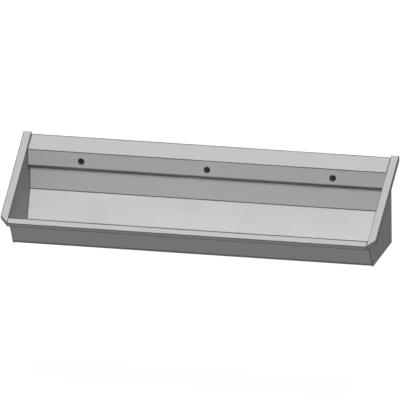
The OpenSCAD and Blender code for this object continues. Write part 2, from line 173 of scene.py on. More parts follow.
class Finishes(bpy.types.PropertyGroup):
    """Colours and surface values."""

    steel: colour("Steel", "Colour of the brushed sheet", (0.60, 0.602, 0.604))
    steel_metal: share("Steel metallic", "How metallic the satin sheet is", 0.15)
    steel_gloss: share("Steel gloss", "Specular level of the satin sheet", 0.05)
    steel_edge: share("Steel edge", "Strength of the reflections at a glancing angle", 0.2)
    steel_rough: share("Steel roughness", "Mean roughness of the sheet", 0.48)
    weld_rough: share("Weld roughness", "Mean roughness of the ground seams", 0.5)
    bright_rough: share("Fittings roughness", "Mean roughness of the bright fittings", 0.3)
    bright_tone: number("Fittings tone", "Tone of the bright fittings against the sheet", 1.05)
    # Dark lines painted along the folds, edges and joints; in the creases and corners they are painted shade.
    # The weld seams take the same dark tone.
    fold_shade: share("Fold shade", "How dark the press marks along the folds are", 0.25)
    # Painted shade over the middle of the front lip, which faces down and forwards
    lip_painted_shade: share("Lip shade", "How dark the handled middle of the front lip is", 0.80)
    # Painted shade: a darker copy of the steel for the bowl's outside, on the front panel that faces down and
    # forwards
    under_painted_shade: share("Underside shade", "Tone of the bowl's outside, which isn't wiped", 0.89)
    # Painted shade: the end panels' sheet a little darker than the bowl's
    end_painted_shade: share("End shade", "Tone of the end panels' sheet", 0.965)
    # Painted shade on the end panels' inner faces, a darker copy of their steel
    inside_painted_shade: share("Inside shade", "Tone of the end panels' splashed inner faces", 0.88)
    # Painted shade round and inside the tap holes
    hole_painted_shade: share("Hole shade", "How dark the pressed edges of the tap holes are", 0.12)
    # Half width of the painted dark lines along the folds
    fold_width: length("Fold marks", "Half the width of the press marks along the folds", 0.0036)
    zinc: colour("Zinc", "Colour of the zinc-plated rail and brackets", (0.50, 0.52, 0.54))
    rubber: colour("Rubber", "Colour of mats and gaskets", (0.03, 0.03, 0.032))
    brass: colour("Brass", "Colour of the brass fasteners", (0.62, 0.44, 0.17))
    backdrop: colour("Floor", "The floor's own colour, which takes the shadow", (0.35, 0.35, 0.35))
    floor_bounce: colour("Floor bounce", "The floor's colour in the light it throws up", (0.05, 0.05, 0.05))


class View(bpy.types.PropertyGroup):
    """Where the camera stands, and the lamps."""

    azimuth: angle("Azimuth", "Turn of the camera to the right of the trough's front", 13.41)
    elevation: angle("Elevation", "Height of the camera above the horizon", 17.80)
    roll: angle("Roll", "Tilt of the picture", 0.37)
    picture_width: length("Picture width", "Width of the view", 2.1668)
    corner_u: number("Corner u", "Pixel column of the right end panel's lower rear corner", 391.95)
    corner_v: number("Corner v", "Pixel row of the right end panel's lower rear corner", 242.2)
    floor_white: share("Floor white", "Part of the floor's whiteness that no shadow takes away", 0.82)
    floor_drop: length("Floor drop", "Floor below the end panels' bottom edge", 0.690)
    floor_half: length("Floor half", "Half the length of the floor's sides", 14.0)
    front_elevation: angle("Front lamp elevation", "Height of the front lamp above the horizon", 36.0)
    front_azimuth: angle("Front lamp azimuth", "Turn of the lamps to the right of the front", -3.0)
    front_strength: number("Front lamp", "Strength of the front lamp", 1.57)
    top_elevation: angle("Top lamp elevation", "Top lamp's height, past the zenith above 90 degrees", 100.0)
    top_strength: number("Top lamp", "Strength of the top lamp", 0.88)
    rear_strength: number("Rear lamp", "Strength of the rear lamp", 0.7)
    front_softness: angle("Front lamp softness", "Angle that the front lamp fills", 14.0)
    lamp_softness: angle("Lamp softness", "Angle that each other lamp fills", 26.0)
    ambient: number("Ambient", "Strength of the even light", 0.03)


def sizes():
    return bpy.context.scene.trough_sizes


def fittings():
    return bpy.context.scene.trough_fittings


def finishes():
    return bpy.context.scene.trough_finishes


def view():
    return bpy.context.scene.trough_view


# ---------- Section of the trough ----------


def right_of(heading):
    """Unit vector to the right of a heading in the section's plane."""
    return Vector((math.sin(heading), -math.cos(heading)))


def placed(point, x=0.0):
    """A point of the section, at a place along the trough."""
    return Vector((x, point.x, point.y))


class Section:
    """Corner points of the folded sheets' seen faces, as (y, z), with the wall at y = 0."""

    def __init__(self, s):
        up = END_LOW.z
        self.slope = math.atan2(s.rear_height - s.front_height, s.depth)
        along = Vector((math.cos(self.slope), math.sin(self.slope)))
        self.rim_front = Vector((-s.depth, s.front_height + up))
        self.lip_foot = self.rim_front + s.lip_height * right_of(self.slope)
        self.rim_rear = self.rim_front + s.rim_width * along
        floor = up + s.base_gap + s.sheet
        front_run = (self.rim_rear.y - floor) * math.tan(s.front_lean)
        gutter_front = Vector((self.rim_rear.x + front_run, floor))
        self.hood_top = Vector((0.0, up + s.rear_height - s.hood_drop))
        drop = s.tap_panel_out * math.tan(s.hood_slope)
        hood_fold = Vector((-s.tap_panel_out, self.hood_top.y - drop))
        self.panel_foot = hood_fold - Vector((0.0, s.tap_panel_height))
        self.wall_top = self.panel_foot + Vector((s.undercut_back, -s.undercut_drop))
        wall_foot = self.wall_top - Vector((0.0, s.lower_wall_height))
        rear_run = (wall_foot.y - floor) / math.tan(s.floor_slope)
        self.gutter_rear = Vector((wall_foot.x - rear_run, floor))
        lap_top = self.wall_top + s.sheet * Vector((1.0, -s.undercut_drop / s.undercut_back))
        self.bowl = [self.lip_foot, self.rim_front, self.rim_rear, gutter_front, self.gutter_rear]
        self.bowl += [wall_foot, Vector((self.wall_top.x, lap_top.y - s.lap_gap))]
        self.hood = [lap_top - Vector((0.0, s.lap_height)), lap_top, self.panel_foot, hood_fold]
        self.hood += [self.hood_top, self.hood_top - Vector((0.0, s.rear_return))]
        self.basin = [gutter_front, self.gutter_rear, wall_foot, *self.hood[1:-1]]


# ---------- Pieces and meshes ----------


def mesh_object(name, bm, *materials):
    """Makes an object of a finished bmesh."""
    mesh = bpy.data.meshes.new(name)
    bm.normal_update()
    bm.to_mesh(mesh)
    bm.free()
    obj = bpy.data.objects.new(name, mesh)
    bpy.context.scene.collection.objects.link(obj)
    for material in materials:
        mesh.materials.append(bpy.data.materials[material])
    return obj


def body_piece(name, bm, slot, *materials):
    """Makes a piece that belongs to the trough's body."""
    piece = mesh_object(name, bm, *materials)
    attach(piece, BODY)
    return piece


def folded_sheet(name, bm, node, *materials, behind=0):
    """Stands for a CAD sheet. Its rear's materials come a number of slots behind its seen face's."""
    sheet = body_piece(name, bm, SLOTS[node], *materials)
    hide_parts(node)
    solid = sheet.modifiers.new("Sheet", "SOLIDIFY")
    solid.thickness = sizes().sheet
    solid.offset = -1.0
    solid.use_even_offset = True
    solid.material_offset = behind
    for face in sheet.data.polygons:
        face.use_smooth = face.material_index == FOLD


def round_piece(name, bm, node, material):
    """Stands for a CAD node, shaded smooth, with its flat faces kept flat by weight."""
    piece = body_piece(name, bm, SLOTS[node], material)
    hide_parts(node)
    piece.data.shade_smooth()
    piece.data.set_sharp_from_angle(angle=SHARP)
    weighted = piece.modifiers.new("Weights", "WEIGHTED_NORMAL")
    weighted.keep_sharp = True


def bevel(bm, edges, radius, segments):
    """Rounds edges and returns the new faces."""
    made = bmesh.ops.bevel(
        bm, geom=edges, affect="EDGES", offset=radius, offset_type="OFFSET", segments=segments,
        profile=0.5, material=-1, clamp_overlap=True,
    )
    return made["faces"]


def fold_edge(bm, edges, radius):
    """Rounds one fold to a radius on its seen face, and marks its faces as a fold."""
    turn = edges[0].calc_face_angle(0.0)
    for face in bevel(bm, edges, radius * math.tan(turn / 2), FOLD_STEPS):
        face.material_index = FOLD


def edges_of(verts):
    """The vertices' edges, each once, in a steady order."""
    return list(dict.fromkeys(e for v in verts for e in v.link_edges))


def on_line(place, start, end):
    """True for a place on the straight line between two others."""
    span = end - start
    along = (place - start).dot(span) / span.length_squared
    return -MATCHED < along < 1 + MATCHED and (start + along * span - place).length < MATCHED


def edges_on(bm, *lines):
    """Edges that lie on straight lines, each (start, end)."""
    return [e for line in lines for e in bm.edges if all(on_line(v.co, *line) for v in e.verts)]


def grown(bm, border):
    """Extrudes a border and returns the new vertices and the new border."""
    out = bmesh.ops.extrude_edge_only(bm, edges=border)["geom"]
    verts = [v for v in out if isinstance(v, bmesh.types.BMVert)]
    new = set(verts)
    return verts, [e for e in edges_of(verts) if e.is_boundary and set(e.verts) <= new]


def drawn(bm, edges, offset):
    """Extrudes edges by an offset."""
    verts, _ = grown(bm, edges)
    bmesh.ops.translate(bm, vec=offset, verts=verts)


def is_convex(line, i):
    """True where the seen face is on the outside of the fold."""
    before = line[i] - line[i - 1]
    after = line[i + 1] - line[i]
    return before.x * after.y - before.y * after.x < 0


def strip_bmesh(line, s):
    """A sheet whose seen face follows the line, drawn along the trough, with rounded folds."""
    half = s.inner_length / 2
    bm = bmesh.new()
    verts = [bm.verts.new(placed(point, -half)) for point in line]
    drawn(bm, [bm.edges.new(pair) for pair in zip(verts, verts[1:])], 2 * half * ACROSS)
    for i in range(1, len(line) - 1):
        fold = edges_on(bm, (placed(line[i], -half), placed(line[i], half)))
        fold_edge(bm, fold, s.fold_radius + (s.sheet if is_convex(line, i) else 0.0))
    return bm


def face_at(bm, point):
    """The face whose plane and outline hold the point."""
    for face in bm.faces:
        if abs((point - face.calc_center_median()).dot(face.normal)) < TOUCHING:
            if bmesh.geometry.intersect_face_point(face, point):
                return face
    raise RuntimeError(f"no face holds {tuple(point)}")


def round_hole(bm, centre, half, radius):
    """Cuts a round hole in a flat face, through a square patch round it. Returns the hole's border."""
    bm.normal_update()
    up = face_at(bm, centre).normal.cross(ACROSS)
    for direction in (ACROSS, -ACROSS, up, -up):
        face = face_at(bm, centre)
        geom = [face, *face.edges, *face.verts]
        bmesh.ops.bisect_plane(bm, geom=geom, plane_co=centre + half * direction, plane_no=direction)
        bm.normal_update()
    patch = face_at(bm, centre)
    border = list(patch.edges)
    bmesh.ops.delete(bm, geom=[patch], context="FACES_ONLY")
    cut = bmesh.ops.subdivide_edges(bm, edges=border, cuts=SIDE_CUTS)
    verts, rim = grown(bm, [e for e in cut["geom_split"] if isinstance(e, bmesh.types.BMEdge)])
    for v in verts:
        v.co = centre + radius * (v.co - centre).normalized()
    return rim


def step_ring(bm, rim, radius, new_radius, inwards):
    """Extrudes a hole's border to another radius, and moves it inwards. Returns the new border."""
    verts, edges = grown(bm, rim)
    middle = sum((v.co for v in verts), Vector()) / len(verts)
    for v in verts:
        v.co = middle + (v.co - middle) * (new_radius / radius) + inwards
    return edges


def seam(name, chains, radius):
    """Weld seams along chains of points."""
    curve = bpy.data.curves.new(name, "CURVE")
    curve.dimensions = "3D"
    curve.bevel_depth = radius
    curve.bevel_resolution = 2
    curve.use_fill_caps = True
    for chain in chains:
        spline = curve.splines.new("POLY")
        spline.points.add(len(chain) - 1)
        for point, place in zip(spline.points, chain):
            point.co = (*place, 1.0)
    maker = bpy.data.objects.new(name, curve)
    mesh = bpy.data.meshes.new_from_object(maker)
    bm = bmesh.new()
    bm.from_mesh(mesh)
    bpy.data.objects.remove(maker)
    bpy.data.curves.remove(curve)
    bpy.data.meshes.remove(mesh)
    bmesh.ops.remove_doubles(bm, verts=bm.verts, dist=MERGED)
    for face in bm.faces:
        face.smooth = True
    body_piece(name, bm, "stainless_sheet", "weld_seam")


# ---------- Materials ----------


# A painted dark mark, a dark line or painted shade, is full within the first share of its half width and gone
# at the second one, and noise moves its border by the third, a share of what lies outside the full part
MARK_FULL, MARK_GONE, MARK_RAGGED = 0.6, 1.1, 0.3
# The first share, for the painted shade round the tap holes
HOLE_FULL = 0.9


class Nodes:
    """Short calls for building the node tree of a material or a world."""

    def __init__(self, owner):
        owner.use_nodes = True
        self.tree = owner.node_tree

    def feed(self, node, inputs):
        """Sets a node's inputs, and links those whose value is another node's output."""
        for name, value in inputs.items():
            if isinstance(value, bpy.types.NodeSocket):
                self.tree.links.new(value, node.inputs[name])
            else:
                node.inputs[name].default_value = value

    def add(self, kind, inputs, **settings):
        """Adds a node and returns its outputs."""
        node = self.tree.nodes.new(kind)
        for name, value in settings.items():
            setattr(node, name, value)
        self.feed(node, inputs)
        return node.outputs

    def maths(self, kind, a, b):
        return self.add("ShaderNodeMath", {0: a, 1: b}, operation=kind)["Value"]

    def vectors(self, kind, inputs):
        return self.add("ShaderNodeVectorMath", inputs, operation=kind)

    def shown_white(self, plain, white, output):
        """Ends the tree in a shader, mixed with white for the rays that see the background."""
        path = self.add("ShaderNodeLightPath", {})
        seen = path["Is Camera Ray"]
        for other in ("Is Glossy Ray", "Is Transmission Ray"):
            seen = self.maths("MAXIMUM", seen, path[other])
        mix = self.add("ShaderNodeMixShader", {0: seen, 1: plain, 2: white})
        self.feed(self.tree.nodes[output], {"Surface": mix["Shader"]})


class Surface(Nodes):
    """Short calls for building a piece's material on its Object coordinates."""

    def __init__(self, name):
        super().__init__(bpy.data.materials.new(name))
        self.shader = self.tree.nodes["Principled BSDF"]
        self.place = self.add("ShaderNodeTexCoord", {})["Object"]

    def noise(self, scale, detail, rough=0.5):
        """Noise with one scale, or with one along each axis."""
        place = self.place
        if isinstance(scale, tuple):
            place = self.add("ShaderNodeMapping", {"Vector": place, "Scale": scale})["Vector"]
            scale = 1.0
        inputs = {"Vector": place, "Scale": scale, "Detail": detail, "Roughness": rough}
        return self.add("ShaderNodeTexNoise", inputs)["Fac"]

    def ranged(self, value, low, high, from_low=0.3, from_high=0.7):
        """Carries a value from one range over to another. The first one's defaults suit noise."""
        inputs = {"Value": value, "From Min": from_low, "From Max": from_high, "To Min": low, "To Max": high}
        return self.add("ShaderNodeMapRange", inputs)["Result"]

    def total(self, mean, *swings):
        """A mean to which each noise adds up to its swing, or takes as much away."""
        for noise, swing in swings:
            mean = self.maths("ADD", self.ranged(noise, -swing, swing), mean)
        return mean

    def mirrored_place(self):
        """The surface's place, with the left end laid over the right one."""
        parts = self.add("ShaderNodeSeparateXYZ", {"Vector": self.place})
        across = self.maths("ABSOLUTE", parts["X"], 0.0)
        return self.add("ShaderNodeCombineXYZ", {"X": across, "Y": parts["Y"], "Z": parts["Z"]})["Vector"]

    def distance(self, here, through, axis):
        """How far a place is from a line."""
        out = self.vectors("SUBTRACT", {0: here, 1: through})["Vector"]
        side = self.vectors("CROSS_PRODUCT", {0: out, 1: axis.normalized()})["Vector"]
        return self.vectors("LENGTH", {0: side})["Value"]

    def marks(self, lines, shade, noise, full=MARK_FULL):
        """A factor that falls to the shade along lines, each (point, direction, half width)."""
        here = self.mirrored_place()
        nearest = None
        for through, axis, half in lines:
            away = self.maths("DIVIDE", self.distance(here, through, axis), half)
            nearest = away if nearest is None else self.maths("MINIMUM", nearest, away)
        nearest = self.total(nearest, (noise, MARK_RAGGED * (1 - full)))
        return self.ranged(nearest, shade, 1.0, full, MARK_GONE)

    def finish(self, base, factor, roughness, relief, strength, depth, metallic=0.0):
        """Gives the shader a colour times a factor, a roughness, and a relief of some strength and depth."""
        tinted = self.vectors("SCALE", {0: tuple(base), "Scale": factor})["Vector"]
        bump = self.add("ShaderNodeBump", {"Height": relief, "Strength": strength, "Distance": depth})
        self.feed(self.shader, {"Base Color": tinted, "Roughness": roughness})
        self.feed(self.shader, {"Metallic": metallic, "Normal": bump["Normal"]})


# Widths of the painted dark lines against a fold's: at the rim's rear and the hood's top, and at edges and
# joints
BROAD_MARK, EDGE_MARK = 3.0, 1.5
# Half widths of the painted shade across the undercut and over the lip, against the widths of the undercut
# and the lip
UNDERCUT_MARK, LIP_MARK = 0.29, 0.6


def fold_lines():
    """Painted dark lines along the folds and edges of the bowl and the hood: painted shade in the creases and
    at the lip's foot, and across the undercut.
    """
    width = finishes().fold_width
    section = Section(sizes())
    under = section.panel_foot - section.wall_top
    broad = [section.rim_rear, section.hood_top]
    even = [corner for corner in section.bowl[:-1] + section.hood[1:-1] if corner not in broad]
    widths = [(even, width), (broad, BROAD_MARK * width)]
    # Painted shade across the whole undercut, the underside below the tap panel
    widths.append(([section.wall_top + under / 2], UNDERCUT_MARK * under.length))
    return [(placed(corner), ACROSS, half) for corners, half in widths for corner in corners]


def joint_lines():
    """Painted shade along the corners where gutter, slope, wall and hood meet the end panels, given for the
    right end.
    """
    chain = [placed(corner, sizes().inner_length / 2) for corner in Section(sizes()).basin]
    return [(a, b - a, EDGE_MARK * finishes().fold_width) for a, b in zip(chain, chain[1:])]


def lip_lines():
    """Painted shade over the middle of the front lip, as one broad line."""
    section = Section(sizes())
    middle = (section.lip_foot + section.rim_front) / 2
    return [(placed(middle), ACROSS, LIP_MARK * sizes().lip_height)]


def end_lines():
    """Painted dark lines along the folds, joints and edges of the end panels, painted shade in their creases
    and corners, given for the right end.
    """
    s = sizes()
    section = Section(s)
    width = finishes().fold_width
    near = s.inner_length / 2
    rise = Vector((0, math.cos(section.slope), math.sin(section.slope)))
    down = placed(right_of(section.slope))
    front, rear = placed(section.rim_front, near), placed(section.rim_rear, near)
    out = s.rim_width * (ACROSS + rise / math.cos(section.slope))
    side = front + out
    lean = Vector((0, math.tan(s.front_lean), -1))
    lip = s.lip_height * down
    low = Vector((near, 0, END_LOW.z))
    joints = [(rear, lean), (front, rise), (low, UPWARDS), (low, WALLWARDS)]
    edges = [(side, rise), (front, out), (side, down), (side + lip, rise), (front + lip, out)]
    return [(*joint, width) for joint in joints] + [(*edge, EDGE_MARK * width) for edge in edges]


def tap_centre(i):
    """The middle of a tap hole, counted from the one at mid-length."""
    f = fittings()
    return placed(Section(sizes()).panel_foot, i * f.tap_pitch) + UPWARDS * f.tap_height


def tap_lines():
    """Painted shade round and inside the tap holes, as lines through them, given for the right half."""
    f = fittings()
    return [(tap_centre(i), WALLWARDS, f.tap_hole / 2 + f.hole_edge) for i in (0, 1)]


# Scales of the brushed sheet's noise, along and across its grain
FINE_GRAIN, COARSE_GRAIN = (9.0, 1900.0), (2.5, 320.0)


def brushed_steel(name, grain, tone, rough, *marked):
    """Satin stainless sheet: grain along the given axes, faint smudges, slow changes of tone, and painted
    dark lines and painted shade along the marked lines.
    """
    f = finishes()
    n = Surface(name)
    fine, coarse = (
        n.noise(tuple(along if axis in grain else across for axis in "xyz"), detail)
        for (along, across), detail in ((FINE_GRAIN, 3.0), (COARSE_GRAIN, 2.0))
    )
    smudge, cloud = n.noise(3.2, 5.0, rough=0.62), n.noise(1.1, 2.0)
    factor = n.total(tone, (fine, 0.030), (coarse, 0.018), (smudge, 0.012), (cloud, 0.010))
    for lines, shade, *full in marked:
        factor = n.maths("MULTIPLY", factor, n.marks(lines, shade, smudge, *full))
    roughness = n.total(rough, (smudge, 0.05), (coarse, 0.04))
    n.finish(f.steel, factor, roughness, fine, 0.08, 0.0002, metallic=f.steel_metal)
    tint = (f.steel_edge,) * 3 + (1.0,)
    n.feed(n.shader, {"Specular IOR Level": f.steel_gloss, "Specular Tint": tint})


def zinc_plate():
    """Zinc-plated steel: a fine spangle, dull and slightly patchy."""
    n = Surface("zinc_plate")
    cells = n.add("ShaderNodeTexVoronoi", {"Scale": 160.0, "Vector": n.place})
    patch = n.noise(9.0, 4.0)
    spangle = n.ranged(cells["Distance"], 0.93, 1.07, 0.0, 0.8)
    factor = n.total(spangle, (patch, 0.08))
    n.finish(finishes().zinc, factor, n.ranged(patch, 0.42, 0.6), patch, 0.1, 0.0004, metallic=0.5)


def black_rubber():
    """Black rubber with a fine pebbled skin and dust in its hollows."""
    n = Surface("rubber")
    pebble, dust = n.noise(420.0, 2.0), n.noise(14.0, 5.0)
    n.finish(finishes().rubber, n.ranged(dust, 0.8, 1.9), n.ranged(dust, 0.7, 0.9), pebble, 0.35, 0.0005)


def dull_brass():
    """Turned brass, a little dulled."""
    n = Surface("brass")
    turned, dull = n.noise((60.0, 60.0, 2400.0), 2.0), n.noise(30.0, 4.0)
    factor = n.total(n.ranged(dull, 0.85, 1.1), (turned, 0.05))
    n.finish(finishes().brass, factor, n.ranged(dull, 0.25, 0.45), turned, 0.1, 0.0002, metallic=0.9)


class TROUGH_OT_finishes(bpy.types.Operator):
    """Make the materials"""

    bl_idname = "trough.finishes"
    bl_label = "Finishes"

    def execute(self, context):
        f = finishes()
        ends = end_lines()
        end_folds = (ends, f.fold_shade)
        # The first two of the ends' lines are where the rim and the front panel meet them
        folds = (fold_lines() + joint_lines() + ends[:2], f.fold_shade)
        holes, lip = (tap_lines(), f.hole_painted_shade, HOLE_FULL), (lip_lines(), f.lip_painted_shade)
        # steel_along carries the painted dark lines, the painted shade in the tap holes and the painted shade
        # on the lip
        brushed_steel("steel_along", "x", 1.0, f.steel_rough, folds, holes, lip)
        # A darker copy of the steel: painted shade on the bowl's outside
        brushed_steel("steel_under", "x", f.under_painted_shade, f.steel_rough, folds)
        # Darker copies of the end panels' steel: painted shade on the end panels, more on their inner faces
        brushed_steel("steel_ends", "yz", f.end_painted_shade, f.steel_rough, end_folds)
        brushed_steel("steel_inside", "yz", f.inside_painted_shade, f.steel_rough, end_folds)
        # The weld seams take the painted lines' dark tone: painted shade in the joints
        brushed_steel("weld_seam", "x", f.fold_shade, f.weld_rough)
        brushed_steel("fittings_steel", "x", f.bright_tone, f.bright_rough)
        zinc_plate()
        black_rubber()
        dull_brass()
        return {"FINISHED"}


# ---------- Folded sheets ----------


class TROUGH_OT_bowl(bpy.types.Operator):
    """Fold the bowl's sheet, from the front lip to the lower wall, with the recess round the waste"""

    bl_idname = "trough.bowl"
    bl_label = "Bowl"

    def execute(self, context):
        s, f = sizes(), fittings()
        section = Section(s)
        bm = strip_bmesh(section.bowl, s)
        floor = section.gutter_rear.y
        rim = round_hole(bm, Vector((0.0, -f.waste_out, floor)), RECESS_PATCH, f.recess_radius)
        rim = step_ring(bm, rim, f.recess_radius, f.recess_foot, UPWARDS * (GASKET_FOOT - floor))
        step_ring(bm, rim, f.recess_foot, f.waste_hole, Vector())
        # The bowl's outside takes the darker copy of the steel: painted shade on the front panel
        outside = ("steel_under",) * 2
        folded_sheet("bowl_sheet", bm, "bowl", "steel_along", "steel_along", *outside, behind=len(outside))
        return {"FINISHED"}


class TROUGH_OT_hood(bpy.types.Operator):
    """Fold the hood's sheet, with the tap holes"""

    bl_idname = "trough.hood"
    bl_label = "Hood"

    def execute(self, context):
        s, f = sizes(), fittings()
        bm = strip_bmesh(Section(s).hood, s)
        edge = f.tap_hole / 2 + f.hole_edge
        for i in (-1, 0, 1):
            rim = round_hole(bm, tap_centre(i), TAP_PATCH, edge)
            old_faces = set(bm.faces)
            step_ring(bm, rim, edge, f.tap_hole / 2, WALLWARDS * f.hole_edge / 4)
            for face in set(bm.faces) - old_faces:
                face.material_index = FOLD
        folded_sheet("hood_sheet", bm, "hood", "steel_along", "steel_along")
        return {"FINISHED"}


def add_face(bm, *places):
    """A face through places, which shares the vertices that are already there."""
    corners = []
    for place in places:
        there = [v for v in bm.verts if (v.co - place).length < MATCHED]
        corners.append(there[0] if there else bm.verts.new(place))
    return bm.faces.new(corners)


def end_bmesh(s):
    """The right end: flange on the rim's plane, chamfered lip, panel, and return along the wall."""
    section = Section(s)
    near, far = s.inner_length / 2, s.inner_length / 2 + s.rim_width
    plane = Matrix.Translation(placed(section.rim_front)) @ Matrix.Rotation(section.slope, 4, "X")
    wall, chamfer, edge = (size / math.cos(section.slope) for size in (s.depth, s.rim_width, s.sheet))
    flange = (near, 0), (far, chamfer), (far, wall), (near, wall), (near, wall - edge)
    corner, outer, outer_wall, inner_wall, panel_top = (plane @ Vector((x, y, 0)) for x, y in flange)
    rise, lean = math.tan(section.slope), math.tan(s.front_lean)
    skin = s.sheet / math.cos(s.front_lean)
    panel_corner = placed(section.rim_rear - skin / (1 + rise * lean) * Vector((1, rise)), near)
    low = END_LOW.z
    front_foot = section.rim_rear.x + (section.rim_rear.y - low) * lean - skin
    heights = section.hood_top.y - s.rear_return - s.base_gap, low + s.base_gap, low
    rear_top, rear_foot, rear_corner = (Vector((near, -s.sheet, z)) for z in heights)

    bm = bmesh.new()
    add_face(bm, corner, outer, outer_wall, inner_wall, panel_top, panel_corner)
    add_face(bm, panel_corner, panel_top, rear_top, rear_foot, rear_corner, Vector((near, front_foot, low)))
    drawn(bm, edges_on(bm, (rear_top, rear_foot)), -s.end_return * ACROSS)
    lips = (corner, outer), (outer, outer_wall)
    down = plane.to_3x3() @ (-s.lip_height * UPWARDS)
    drawn(bm, edges_on(bm, *lips), down)
    geom = bm.verts[:] + bm.edges[:] + bm.faces[:]
    behind = WALLWARDS * -s.sheet / 2
    bmesh.ops.bisect_plane(bm, geom=geom, plane_co=behind, plane_no=WALLWARDS, clear_outer=True)
    fold_edge(bm, edges_on(bm, *lips, (outer, outer + down)), s.fold_radius + s.sheet)
    fold_edge(bm, edges_on(bm, (panel_corner, panel_top)), s.fold_radius + s.sheet)
    fold_edge(bm, edges_on(bm, (rear_top, rear_foot)), s.fold_radius)
    return bm


class TROUGH_OT_ends(bpy.types.Operator):
    """Fold the two end panels with their flanges and lips"""

    bl_idname = "trough.ends"
    bl_label = "End panels"

    def execute(self, context):
        # The end panels' inner faces take the darker copy of their steel: painted shade
        seen = ("steel_ends", "steel_ends", "steel_inside")
        outside = ("steel_ends",) * 3
        for side in ("left", "right"):
            bm = end_bmesh(sizes())
            if side == "left":
                bmesh.ops.scale(bm, vec=(-1, 1, 1), verts=bm.verts)
                bmesh.ops.reverse_faces(bm, faces=bm.faces)
            bm.normal_update()
            for face in bm.faces:
                if face.material_index == FLAT and face.normal.x * face.calc_center_median().x < 0:
                    face.material_index = INNER
            name, node = f"{side}_end_sheet", f"{side}_end_panel"
            folded_sheet(name, bm, node, *seen, *outside, behind=len(seen))
        return {"FINISHED"}


# ---------- Welds ----------


def end_chain(sheet, x):
    """Places along the edge of a folded sheet at x, in order."""
    mesh = sheet.data
    links = {}
    for edge in mesh.edges:
        if all(abs(mesh.vertices[i].co.x - x) < MATCHED for i in edge.vertices):
            for here, there in (edge.vertices, reversed(edge.vertices)):
                links.setdefault(here, []).append(there)
    chain = [next(i for i in sorted(links) if len(links[i]) == 1)]
    while True:
        ahead = [i for i in links[chain[-1]] if i not in chain]
        if not ahead:
            return [mesh.vertices[i].co.copy() for i in chain]
        chain.append(ahead[0])


TAP_PLATES = ("tap_plate_left", "tap_plate_centre", "tap_plate_right")


def stitch(middle, along, f):
    """Ends of a short seam."""
    return [middle + end * along * f.stitch_length / 2 for end in (-1, 1)]


def rail_stitches(f):
    """Short seams that hold the channel under the gutter and the hanger rail in the hood."""
    chains = []
    for node, offset in (("front_stiffener", -UPWARDS), ("hanger_rail", -WALLWARDS)):
        low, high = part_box(node)
        rows = (low.y, high.y) if node == "front_stiffener" else (high.y,)
        last = round((high.x - low.x) / f.stitch_pitch)
        for i in range(1, last):
            x = low.x + i * (high.x - low.x) / last
            chains += [stitch(Vector((x, y, high.z)) + offset * f.stitch / 2, ACROSS, f) for y in rows]
    return chains


def plate_stitches(f):
    """Short seams beside the tap plates and behind the earth tag."""
    chains = []
    for plate in TAP_PLATES:
        low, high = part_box(plate)
        y, z = low.y + f.stitch / 2, (low.z + high.z) / 2
        chains += [stitch(Vector((x, y, z)), UPWARDS, f) for x in (low.x, high.x)]
    low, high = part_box("earth_tag")
    chains.append([Vector((x, high.y, high.z - f.stitch / 2)) for x in (low.x + f.stitch, high.x - f.stitch)])
    return chains


class TROUGH_OT_welds(bpy.types.Operator):
    """Run the seams between the sheets and the short seams that hold the rails and the plates"""

    bl_idname = "trough.welds"
    bl_label = "Welds"

    def execute(self, context):
        s, f = sizes(), fittings()
        for sheet in ("bowl", "hood"):
            for side, x in (("left", -s.inner_length / 2), ("right", s.inner_length / 2)):
                chain = end_chain(bpy.data.objects[f"{sheet}_sheet"], x)
                chain = [place for place in chain if place.y < -2 * f.weld]
                for place in chain:
                    place.y = max(place.y, f.weld - s.depth)
                seam(f"{sheet}_weld_{side}", [chain], f.weld)
        seam("rail_stitches", rail_stitches(f), f.stitch)
        seam("plate_stitches", plate_stitches(f), f.stitch)
        return {"FINISHED"}


# ---------- Rails, brackets and mats ----------


def softened(nodes, radius, material):
    """Makes copies of CAD nodes with their sharp edges rounded, which stand for the nodes."""
    for node in nodes:
        bm = bmesh.new()
        bm.from_mesh(frame["nodes"][node].data)
        bmesh.ops.remove_doubles(bm, verts=bm.verts, dist=TOUCHING)
        bmesh.ops.dissolve_limit(bm, angle_limit=EVEN, verts=bm.verts, edges=bm.edges)
        sharp = [e for e in bm.edges if e.is_manifold and e.calc_face_angle(0.0) > SHARP]
        bevel(bm, sharp, radius, EDGE_STEPS)
        round_piece(f"{node}_piece", bm, node, material)


class TROUGH_OT_rails(bpy.types.Operator):
    """Round the edges of the wall rail, the hanger rail, the brackets, the channel and the tap plates"""

    bl_idname = "trough.rails"
    bl_label = "Rails and brackets"

    def execute(self, context):
        edge = fittings().cut_edge
        softened(("wall_rail", "left_bracket", "right_bracket"), edge, "zinc_plate")
        softened(("hanger_rail", "front_stiffener", *TAP_PLATES), edge, "steel_along")
        softened(("earth_tag",), edge, "fittings_steel")
        return {"FINISHED"}


class TROUGH_OT_mats(bpy.types.Operator):
    """Round the edges of the damping mats and of the waste's rubber rings"""

    bl_idname = "trough.mats"
    bl_label = "Mats and rubber rings"

    def execute(self, context):
        f = fittings()
        softened(("left_sound_pad", "right_sound_pad"), f.mat_edge, "rubber")
        softened(("waste_gasket", "waste_washer"), f.cut_edge, "rubber")
        return {"FINISHED"}


# ---------- Waste and fasteners ----------

# Width across flats of a nut or screw head, for each metre of its thread's radius
ACROSS_FLATS = 3.2
# Depth of a rod's thread, for each metre of its pitch
ROD_DEPTH = 0.6
# How far in from both its sides the middle of a rounded corner lies, for each metre of its radius
ARC_MIDDLE = 0.3


def spun(bm, geom, centre, angle, steps, rise=0.0):
    """Spins geometry round a vertical line. It joins up where it doesn't rise."""
    bmesh.ops.spin(
        bm, geom=geom, cent=centre, axis=UPWARDS, dvec=UPWARDS * rise, angle=angle, steps=steps,
        use_merge=rise == 0.0, use_duplicate=False,
    )


